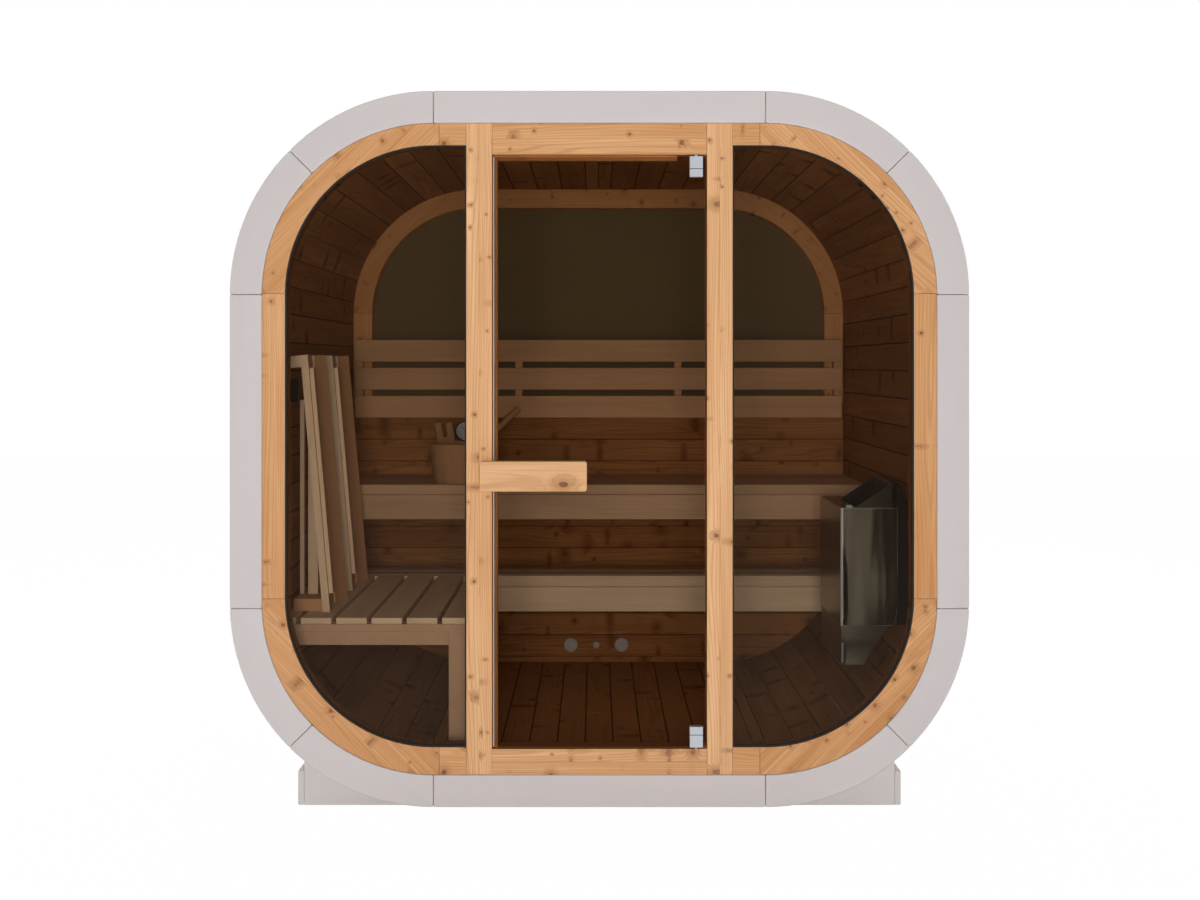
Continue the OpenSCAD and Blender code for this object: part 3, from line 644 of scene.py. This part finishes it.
def tongues(slab, axis, places, deep):
    """The thin tongues that close the joints of a slab's boards against light."""
    middle = sum((Vector(corner) for corner in slab.bound_box), Vector()) / 8
    pieces = []
    for place in places[1:-1]:
        piece = twin(slab)
        for across, at in ((axis, axis * place), (deep, middle)):
            cut(piece, at - across * TONGUE, across)
            cut(piece, at + across * TONGUE, -across)
        pieces.append(piece)
    return pieces


def solids(mesh):
    """For each vertex, the number of the separate solid that it is in."""
    ends = np.empty(len(mesh.edges) * 2, int)
    mesh.edges.foreach_get("vertices", ends)
    ends = ends.reshape(-1, 2)
    label = np.arange(len(mesh.vertices))
    while True:
        before = label.copy()
        low = label[ends].min(1)
        np.minimum.at(label, ends[:, 0], low)
        np.minimum.at(label, ends[:, 1], low)
        label = label[label]
        if (label == before).all():
            return label


def boards_of(obj):
    """The lowest and highest corners of each separate solid in an object."""
    points = np.array([v.co for v in obj.data.vertices])
    label = solids(obj.data)
    boards = [points[label == one] for one in np.unique(label)]
    return [(board.min(0), board.max(0)) for board in boards]


def by_size(middle, size):
    """The grain of a plain board: along its longest side, with its thickness as depth."""
    return np.eye(3)[size.argmax()], np.eye(3)[size.argmin()]


def outward(middle):
    """The direction from the cabin's nearest turning line to a point, square to its length."""
    x = middle[0] - max(-TURN_X, min(TURN_X, middle[0]))
    z = middle[2] - max(TURN_LOW, min(TURN_HIGH, middle[2]))
    return np.array((x, 0, z)) / math.hypot(x, z)


def shell_grain(middle, size):
    """The grain of the shell's boards: front to back, with the shell's thickness as depth."""
    return np.array(Y), outward(middle)


def ring_grain(middle, size):
    """The grain of a ring's piece: along its side, or along its arc's chord."""
    out = outward(middle)
    return np.array((-out[2], 0, out[0])), np.array(Y)


def frame_grain(middle, size):
    """The grain of a frame: straights run along, and round corners at 45 degrees."""
    if size[2] < 0.2:
        return np.array(X), np.array(Y)
    if size[0] < 0.2:
        return np.array(Z), np.array(Y)
    sign = -1 if (middle[0] > 0) == (middle[2] > (TURN_LOW + TURN_HIGH) / 2) else 1
    return np.array((1, 0, sign)) / math.sqrt(2), np.array(Y)


def lay_grain(obj, axes=by_size, strip=None, tones=(0.0, 1.0)):
    """Gives each board its own coordinates along, across and through the wood, and its tone.

    axes tells the grain's direction and the depth's from a board's middle and size. strip is
    the width of the strips that a glued board is made of, or 0 for boards with open joints.
    tones are the lightest and the darkest tone of a board.
    """
    mesh = obj.data
    points = np.empty(len(mesh.vertices) * 3)
    mesh.vertices.foreach_get("co", points)
    points = points.reshape(-1, 3)
    label = solids(mesh)
    grain, tone, ply = np.zeros_like(points), np.zeros(len(points)), np.full(len(points), 0.5)
    for number, board in enumerate(np.unique(label)):
        mine = label == board
        low, high = points[mine].min(0), points[mine].max(0)
        along, depth = axes((low + high) / 2, high - low)
        here = points[mine] - (low + high) / 2
        side, face = here @ np.cross(depth, along), here @ depth
        draw = random.Random(f"{obj.name} {number}")
        grain[mine, 0] = here @ along + draw.uniform(-30, 30)
        grain[mine, 1] = side + draw.uniform(-0.05, 0.05)
        grain[mine, 2] = face + draw.uniform(0.025, 0.07)
        tone[mine] = draw.uniform(*tones)
        if strip:
            ply[mine] = side / strip
        elif strip == 0:
            # The joint begins where the narrower face ends
            near = abs(side[face < face.min() + 0.001]).max()
            half = min(near, abs(side[face > face.max() - 0.001]).max())
            ply[mine] = np.clip(0.5 + side / half / 2, 0, 1)
    own = mesh.attributes.new("grain", "FLOAT_VECTOR", "POINT")
    own.data.foreach_set("vector", grain.ravel())
    for name, values in (("tone", tone), ("ply", ply)):
        mesh.attributes.new(name, "FLOAT", "POINT").data.foreach_set("value", values)
    return obj


def dress(obj, finishes, slot, nodes=(), body="sauna", pick=None):
    """Gives a piece its finishes and its place in the part. pick tells a face's finish."""
    for make in [finishes] if callable(finishes) else finishes:
        obj.data.materials.append(finish(make))
    if pick:
        for face in obj.data.polygons:
            face.material_index = pick(face)
    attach(obj, body) or obj
    if nodes:
        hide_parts(*nodes)
    return obj


def wooden(name, node, edge, woods, slot, axes=by_size, strip=None, tones=(0.0, 1.0), **more):
    """Makes a CAD node's piece of wood, with soft edges and a grain."""
    piece = lay_grain(soften(cast(name, node), edge), axes, strip, tones)
    return dress(piece, woods, slot, (node,), **more)


def screws(name, radius, places):
    """Flat screw heads that look to the front at places, in one object."""
    bpy.ops.object.select_all(action="DESELECT")
    bpy.ops.mesh.primitive_cylinder_add(
        vertices=16, radius=radius, depth=0.0012, location=(0, 0.0009, 0),
        rotation=(math.radians(90), 0, 0),
    )
    first = bpy.context.object
    bpy.ops.object.transform_apply(location=True, rotation=True, scale=True)
    heads = []
    for place in places:
        head = twin(first)
        head.data.transform(Matrix.Translation(place))
        heads.append(head)
    bpy.data.objects.remove(first)
    return joined(heads, name)


def coat(node, make):
    """Gives a CAD node that is shown as it is its finish."""
    for slot in CAD[node].material_slots:
        slot.material = finish(make)


def looks_front(face):
    """Whether a face looks to the front."""
    return face.normal.y < -0.9


def looks_out(face):
    """1 for a face on the outside of the shell, else 0."""
    return int(face.normal @ Vector(outward(face.center)) > 0.7)


# ---------- operators ----------


class SAUNA_OT_stage(Operator):
    """Sets the floor, the light and the camera"""

    bl_idname = "sauna.stage"
    bl_label = "Stage"

    def execute(self, context):
        scene = context.scene
        scene.view_settings.view_transform = "Standard"
        bpy.ops.object.select_all(action="DESELECT")
        bpy.ops.mesh.primitive_plane_add(size=30, location=(0, 0, 0))
        floor = context.object
        floor.name = "studio_floor"
        floor.data.materials.append(finish(studio_paper))
        scene.world = shaded(bpy.data.worlds.new("studio_air"), "World", studio_air)
        lamps = (
            ("front", (-0.15, FRONT - 5.2, 1.3), 1.3, 158),
            ("high", (0.0, FRONT - 2.7, 3.6), 1.6, 16),
            ("low", (0.0, FRONT - 3.2, 0.25), 1.0, 9),
            ("left", (-5.2, 0.8, 2.2), 2.5, 140),
            ("right", (5.2, 0.8, 2.2), 2.5, 140),
            ("back", (0.5, 6.0, 2.6), 2.5, 190),
            ("top", (0.0, 0.4, 6.5), 3.0, 100),
        )
        # Each is a square soft light that shines on the middle of the cabin
        aim = Vector((0, 0.3, 0.9))
        for name, spot, size, power in lamps:
            bpy.ops.object.light_add(type="AREA", location=spot)
            lamp = context.object
            lamp.name = name
            lamp.data.size = size
            lamp.data.energy = power
            lamp.rotation_euler = (aim - Vector(spot)).to_track_quat("-Z", "Y").to_euler()
            lamp.visible_camera = lamp.visible_glossy = False
        # A level camera 4 m in front of the ring, a little over half the cabin's height
        bpy.ops.object.camera_add(
            location=(-0.012, FRONT - 4.0, 1.2525), rotation=(math.radians(90), 0, 0)
        )
        camera = scene.camera = context.object
        camera.data.lens = 42.9
        camera.data.shift_x, camera.data.shift_y = 0.004, -0.0717
        return {"FINISHED"}


class SAUNA_OT_shell(Operator):
    """Makes the boards of the walls, the roof and the floor, and the staves of the corners"""

    bl_idname = "sauna.shell"
    bl_label = "Shell"

    def execute(self, context):
        sizes = context.scene.sauna_sizes
        low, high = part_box("wall_right")
        count = round((high.z - low.z) / sizes.board_w)
        rows = [low.z + (high.z - low.z) * k / count for k in range(count + 1)]
        for node in ("wall_left", "wall_right"):
            self.boards(node, Z, rows)
        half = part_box("roof")[1].x
        count = round((half - sizes.centre_w) / sizes.board_w)
        reach = np.linspace(sizes.centre_w, half, 1 + count)
        self.boards("roof", X, [*-reach[::-1], 0.0, *reach])
        reach = np.arange(sizes.floor_w / 2, half - 0.02, sizes.floor_w)
        self.boards("floor", X, [-half, *-reach[::-1], *reach, half], butt=0.62)
        staves = cast("corner_staves", "corner_staves_left", "corner_staves_right")
        self.close(staves, ("corner_staves_left", "corner_staves_right"))
        return {"FINISHED"}

    def boards(self, node, axis, places, butt=None):
        """Saws a slab into boards and finishes them. butt is where two lengths meet, about."""
        sizes = bpy.context.scene.sauna_sizes
        slab, places = cast(node + "_board", node), list(places)
        closed = tongues(slab, axis, places, X if axis == Z else Z)
        pieces = sawn(slab, axis, places, sizes.board_gap)
        low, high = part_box(node)
        if butt:
            draw = random.Random(node)
            halves = []
            for piece in pieces:
                place = low.y + (high.y - low.y) * (butt + draw.uniform(-0.3, 0.3))
                halves += sawn(piece, Y, [low.y, place, high.y], sizes.board_gap)
            pieces = halves
        self.close(joined(pieces + closed, node + "_boards"), (node,))

    def close(self, obj, nodes):
        """Chamfers the boards, paints them outside and leaves them bare inside."""
        soften(obj, bpy.context.scene.sauna_sizes.board_edge)
        tones = (-0.9, 0.0) if "floor" in nodes else (0.0, 1.0)
        lay_grain(obj, shell_grain, 0, tones)
        dress(obj, (lining_spruce, painted_spruce), "painted_wood", nodes, pick=looks_out)


class SAUNA_OT_rings(Operator):
    """Makes the painted rings at both ends"""

    bl_idname = "sauna.rings"
    bl_label = "Rings"

    def execute(self, context):
        edge = context.scene.sauna_sizes.ring_edge
        for node in ("front_ring", "rear_ring"):
            wooden(node + "_pieces", node, edge, painted_spruce, "painted_wood", ring_grain)
        return {"FINISHED"}


class SAUNA_OT_base(Operator):
    """Makes the cradles and the skirts that the cabin stands on"""

    bl_idname = "sauna.base"
    bl_label = "Base"

    def execute(self, context):
        edge = context.scene.sauna_sizes.ring_edge
        for node in ("cradles", "base_skirts"):
            wooden(node + "_boards", node, edge, painted_spruce, "painted_wood")
        return {"FINISHED"}


class SAUNA_OT_front_frame(Operator):
    """Makes the glued frame, the posts and the door's surround"""

    bl_idname = "sauna.front_frame"
    bl_label = "Front frame"

    def execute(self, context):
        sizes = context.scene.sauna_sizes
        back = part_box("side_window_left")[1].y

        def rebate(face):
            """1 for a face behind the panes that looks into an opening, else 0. Such faces get
            the darker lining wood, partly as painted shade.
            """
            return int(abs(face.normal.y) < 0.3 and face.center.y > back)

        edge, strip = sizes.frame_edge, sizes.strip_w
        for node, width, tones in (
            ("front_frame_straights", None, (1.1, 1.5)),
            ("front_frame_corners", strip, (1.0, 1.5)),
            ("door_post_left", strip, (0.5, 0.6)),
            ("door_post_right", strip, (0.5, 0.6)),
            ("door_header", strip, (1.0, 1.1)),
            ("door_sill", strip, (0.9, 1.0)),
        ):
            wooden(
                node + "_timber", node, edge, (oiled_spruce, lining_spruce), "thermo_wood",
                frame_grain, width, tones, pick=rebate,
            )
        stops = "door_stop_strips", "door_stops"
        wooden(*stops, edge, lining_spruce, "thermo_wood", frame_grain)
        return {"FINISHED"}


class SAUNA_OT_glazing(Operator):
    """Finishes the fixed panes and their gaskets"""

    bl_idname = "sauna.glazing"
    bl_label = "Glazing"

    def execute(self, context):
        for node in ("side_window_left", "side_window_right"):
            coat(node, grey_glass)
        coat("rear_window", rear_glass)
        coat("window_gaskets", rubber_gasket)
        return {"FINISHED"}


class SAUNA_OT_rear_end(Operator):
    """Makes the rear frame, the boards under its window, the vents and the dial"""

    bl_idname = "sauna.rear_end"
    bl_label = "Rear end"

    def execute(self, context):
        sizes = context.scene.sauna_sizes
        wooden(
            "rear_frame_timber", "rear_frame", sizes.frame_edge, rear_spruce, "thermo_wood",
            frame_grain, sizes.strip_w,
        )
        low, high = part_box("rear_wall_boards")
        first = FLOOR + sizes.rear_first
        rows = [low.z, *np.arange(first, high.z - 0.02, sizes.rear_w), high.z]
        slab = cast("rear_board", "rear_wall_boards")
        closed = tongues(slab, Z, rows, Y)
        wall = joined(sawn(slab, Z, rows, sizes.board_gap) + closed, "rear_wall_planks")
        soften(wall, sizes.board_edge)
        lay_grain(wall, lambda middle, size: (np.array(X), np.array(Y)), 0)
        dress(wall, knotty_lining, "thermo_wood", ("rear_wall_boards",))
        self.vents()
        self.dial()
        return {"FINISHED"}

    def vents(self):
        """Turned plugs with a raised rim and a hollow face."""
        vents = cast("vent_discs", "vent_plugs")
        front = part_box("vent_plugs")[0].y + 0.0005
        with editing(vents):
            bpy.ops.mesh.select_all(action="DESELECT")
        for face in vents.data.polygons:
            face.select = face.center.y < front
        bpy.ops.object.mode_set(mode="EDIT")
        for move in (0.004, -0.003):
            bpy.ops.mesh.inset(thickness=0.004, use_individual=True)
            bpy.ops.transform.translate(value=(0, move, 0))
        bpy.ops.object.mode_set(mode="OBJECT")
        dress(soften(vents, 0.0008), vent_plastic, "plug_plastic", ("vent_plugs",))

    def dial(self):
        """A round dial with ticks and a pointer behind its rim."""
        dial = soften(cast("dial_case", "dial"), 0.001)
        low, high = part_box("dial")
        middle = (low + high) / 2
        rim = high.x - middle.x
        inner = rim - 0.004

        def pick(face):
            """1 for the face inside the rim, else 0."""
            points = [dial.data.vertices[i].co - middle for i in face.vertices]
            return int(looks_front(face) and max(math.hypot(p.x, p.z) for p in points) < inner)

        sunk = low.y + 0.0025
        marks = []
        for k in range(12):
            tick = (-0.0008, sunk - 0.0006, inner * 0.78), (0.0008, sunk, inner * 0.95)
            marks.append((block("dial_tick", *tick), math.tau * k / 12))
        hand = (-0.0012, sunk - 0.0012, -0.008), (0.0012, sunk - 0.0004, inner * 0.7)
        marks.append((block("dial_hand", *hand), math.radians(-38)))
        for mark, angle in marks:
            mark.data.transform(Matrix.Rotation(angle, 4, "Y"))
            mark.data.transform(Matrix.Translation((middle.x, 0, middle.z)))
        dress(dial, (dial_rim, dial_face), "dial_plastic", ("dial",), pick=pick)
        marks = joined([mark for mark, angle in marks], "dial_marks")
        dress(soften(marks, 0.0002), dial_rim, "dial_plastic")


class SAUNA_OT_door(Operator):
    """Finishes the door's glass, and makes its seal, its handle and its hinges"""

    bl_idname = "sauna.door"
    bl_label = "Door"

    def execute(self, context):
        coat("door_glass", bronze_glass)
        low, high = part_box("door_glass")
        seal = block("door_seal", (low.x - 0.0032, low.y + 0.001, low.z), (low.x, high.y, high.z))
        soften(seal, 0.0015, 3)
        dress(seal, clear_silicone, "tinted_glass", body="door")
        wooden("handle_block", "door_handle", 0.0015, planed_pine, "handle_wood", body="door")
        for node in ("door_hinge_top", "door_hinge_bottom"):
            low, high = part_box(node)
            # The cover's seam lies nearer the middle of the door
            pin = low.z if node == "door_hinge_bottom" else high.z
            seam = (low.z + high.z) / 2 + ((low.z + high.z) / 2 - pin) * 0.4
            plates = sawn(cast(node + "_plate", node), Z, [low.z, seam, high.z], 0.0012)
            hinge = soften(joined(plates, node + "_patch"), 0.0016, 3)
            dress(hinge, satin_steel, "hinge_metal", (node,), "door")
        return {"FINISHED"}


class SAUNA_OT_benches(Operator):
    """Makes the two benches, the backrest and the side bench"""

    bl_idname = "sauna.benches"
    bl_label = "Benches"

    def execute(self, context):
        edge = context.scene.sauna_sizes.slat_edge
        for node, wood in (
            ("upper_bench_slats", sanded_alder),
            ("upper_bench_front", sanded_alder),
            ("upper_bench_bearers", red_alder),
            ("lower_bench_slats", sanded_alder),
            ("lower_bench_front", pale_alder),
            ("lower_bench_bearers", sanded_alder),
            ("backrest_slats", red_alder),
            ("backrest_battens", red_alder),
            ("side_bench_slats", pale_alder),
            ("side_bench_frame", sanded_alder),
        ):
            wooden(node + "_alder", node, edge, wood, "pale_wood")
        self.backrest_screws()
        return {"FINISHED"}

    def backrest_screws(self):
        """A countersunk screw in each gap of the backrest, on every batten."""
        slats = sorted(boards_of(bpy.data.objects["backrest_slats_alder"]), key=lambda b: b[0][2])
        places = [
            ((low[0] + high[0]) / 2, low[1], (below[1][2] + above[0][2]) / 2)
            for low, high in boards_of(bpy.data.objects["backrest_battens_alder"])
            for below, above in zip(slats, slats[1:])
        ]
        dress(screws("backrest_screws", 0.0042, places), zinc_screw, "hinge_metal")


class SAUNA_OT_heater(Operator):
    """Makes the wall heater: its casing, hopper, control box and wall plate"""

    bl_idname = "sauna.heater"
    bl_label = "Heater"

    def execute(self, context):
        for node, depth, edge, steel in (
            ("heater_body", 0.008, 0.0025, polished_steel),
            ("heater_box", 0.005, 0.003, brushed_steel),
        ):
            low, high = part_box(node)

            def bent(face, low=low, high=high):
                """1 for a face of a bent edge at a side, the foot or the top, which gets a
                painted highlight, else 0.
                """
                sides = (face.center - low).xz, (high - face.center).xz
                near = min(min(side) for side in sides)
                return int(near < BEND and max(abs(part) for part in face.normal) < 0.98)

            sheet = soften(pressed(cast(node + "_sheet", node), depth), edge, 3)
            dress(sheet, (steel, bright_edge), "steel", (node,), pick=bent)
        plate = soften(cast("heater_plate_sheet", "heater_plate"), 0.001)
        dress(plate, black_enamel, "black_metal", ("heater_plate",))
        hopper = soften(cast("heater_hopper_sheet", "heater_hopper"), 0.0004)
        low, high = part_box("heater_hopper")
        middle = (low + high) / 2

        def lined(face):
            """0 in the well, 1 on the outer sheets and 2 on the cut rim, which gets a painted
            highlight.
            """
            if face.area < 0.0004 and face.normal.z > 0.3:
                return 2
            return int(face.normal.z < 0.05 and face.normal.dot(face.center - middle) > 0)

        sheets = (black_enamel, blued_steel, bright_edge)
        dress(hopper, sheets, "black_metal", ("heater_hopper",), pick=lined)
        self.clip()
        self.plate_screws()
        return {"FINISHED"}

    def clip(self):
        """The little bright latch on the casing's front edge: two small plates."""
        low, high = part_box("heater_body")
        corner = Vector((low.x + 0.018, low.y + 0.006, high.z))
        plates = []
        for lift in (0.0, 0.004):
            foot = corner + Z * lift
            plates.append(block("heater_latch", foot, foot + Vector((0.019, 0.012, 0.004))))
        dress(soften(joined(plates, "heater_latch"), 0.0008), satin_steel, "steel")

    def plate_screws(self):
        """Screws that hold the wall plate, seen from the door."""
        low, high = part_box("heater_plate")
        # The topmost screws hide behind the hopper
        x, reach = (low.x + high.x) / 2, (high.z - low.z) * 0.8
        places = [(x, low.y, low.z + reach * share) for share in (0.12, 0.37, 0.62, 0.87)]
        dress(screws("heater_screws", 0.003, places), zinc_screw, "steel")


class SAUNA_OT_pail(Operator):
    """Makes the pail and its ladle"""

    bl_idname = "sauna.pail"
    bl_label = "Pail and ladle"

    def execute(self, context):
        pail = soften(cast("pail_staves", "bucket"), 0.001)
        dress(pail, pail_wood, "pale_wood", ("bucket",))
        ladle = soften(cast("ladle_parts", "ladle"), 0.001)
        low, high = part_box("bucket")
        middle = (low + high) / 2
        reach = (high.x - low.x) / 2 + 0.014

        def pick(face):
            """1 for a face of the metal bowl, else 0."""
            return int((face.center - middle).xy.length < reach)

        dress(lay_grain(ladle), (red_alder, zinc_screw), "pale_wood", ("ladle",), pick=pick)
        return {"FINISHED"}


class SAUNA_OT_leaning_panels(Operator):
    """Makes the two slatted panels that lean on the left wall"""

    bl_idname = "sauna.leaning_panels"
    bl_label = "Leaning panels"

    def execute(self, context):
        for node in ("leaning_panel_front", "leaning_panel_rear"):
            panel = soften(cast(node + "_slats", node), 0.002)

            def pick(face, mesh=panel.data):
                """1 on the front edges of the uprights, which get the paler wood as painted
                light, else 0.
                """
                heights = [mesh.vertices[i].co.z for i in face.vertices]
                return int(looks_front(face) and max(heights) - min(heights) > 0.3)

            woods = (red_alder, pale_alder)
            dress(lay_grain(panel), woods, "pale_wood", (node,), pick=pick)
        # The black hook on the wall that keeps the panels from sliding
        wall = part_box("wall_left")[1].x
        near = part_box("leaning_panel_front")[0].y + 0.053
        hook = block("panel_hook", (wall, near, 1.136), (wall + 0.027, near + 0.02, 1.208))
        dress(soften(hook, 0.0015), black_enamel, "black_metal")
        return {"FINISHED"}


OPERATORS = (
    SAUNA_OT_stage, SAUNA_OT_shell, SAUNA_OT_rings, SAUNA_OT_base, SAUNA_OT_front_frame,
    SAUNA_OT_glazing, SAUNA_OT_rear_end, SAUNA_OT_door, SAUNA_OT_benches, SAUNA_OT_heater,
    SAUNA_OT_pail, SAUNA_OT_leaning_panels,
)


class SAUNA_PT_panel(Panel):
    """Lists the sauna's pieces, sizes and colours"""

    bl_label = "Cube Sauna"
    bl_space_type = "VIEW_3D"
    bl_region_type = "UI"
    bl_category = "Sauna"

    def draw(self, context):
        for operator in OPERATORS:
            self.layout.operator(operator.bl_idname)
        for group in (context.scene.sauna_sizes, context.scene.sauna_colours):
            for name in group.__annotations__:
                self.layout.prop(group, name)


CLASSES = (SaunaSizes, SaunaColours, *OPERATORS, SAUNA_PT_panel)


def register():
    """Registers the classes and the settings."""
    for each in CLASSES:
        bpy.utils.register_class(each)
    bpy.types.Scene.sauna_sizes = PointerProperty(type=SaunaSizes)
    bpy.types.Scene.sauna_colours = PointerProperty(type=SaunaColours)


def unregister():
    """Takes the settings and the classes away again."""
    del bpy.types.Scene.sauna_sizes
    del bpy.types.Scene.sauna_colours
    for each in reversed(CLASSES):
        bpy.utils.unregister_class(each)


def main():
    """Makes every piece."""
    register()
    for operator in OPERATORS:
        group, name = operator.bl_idname.split(".")
        getattr(getattr(bpy.ops, group), name)()


if __name__ == "__main__":
    main()
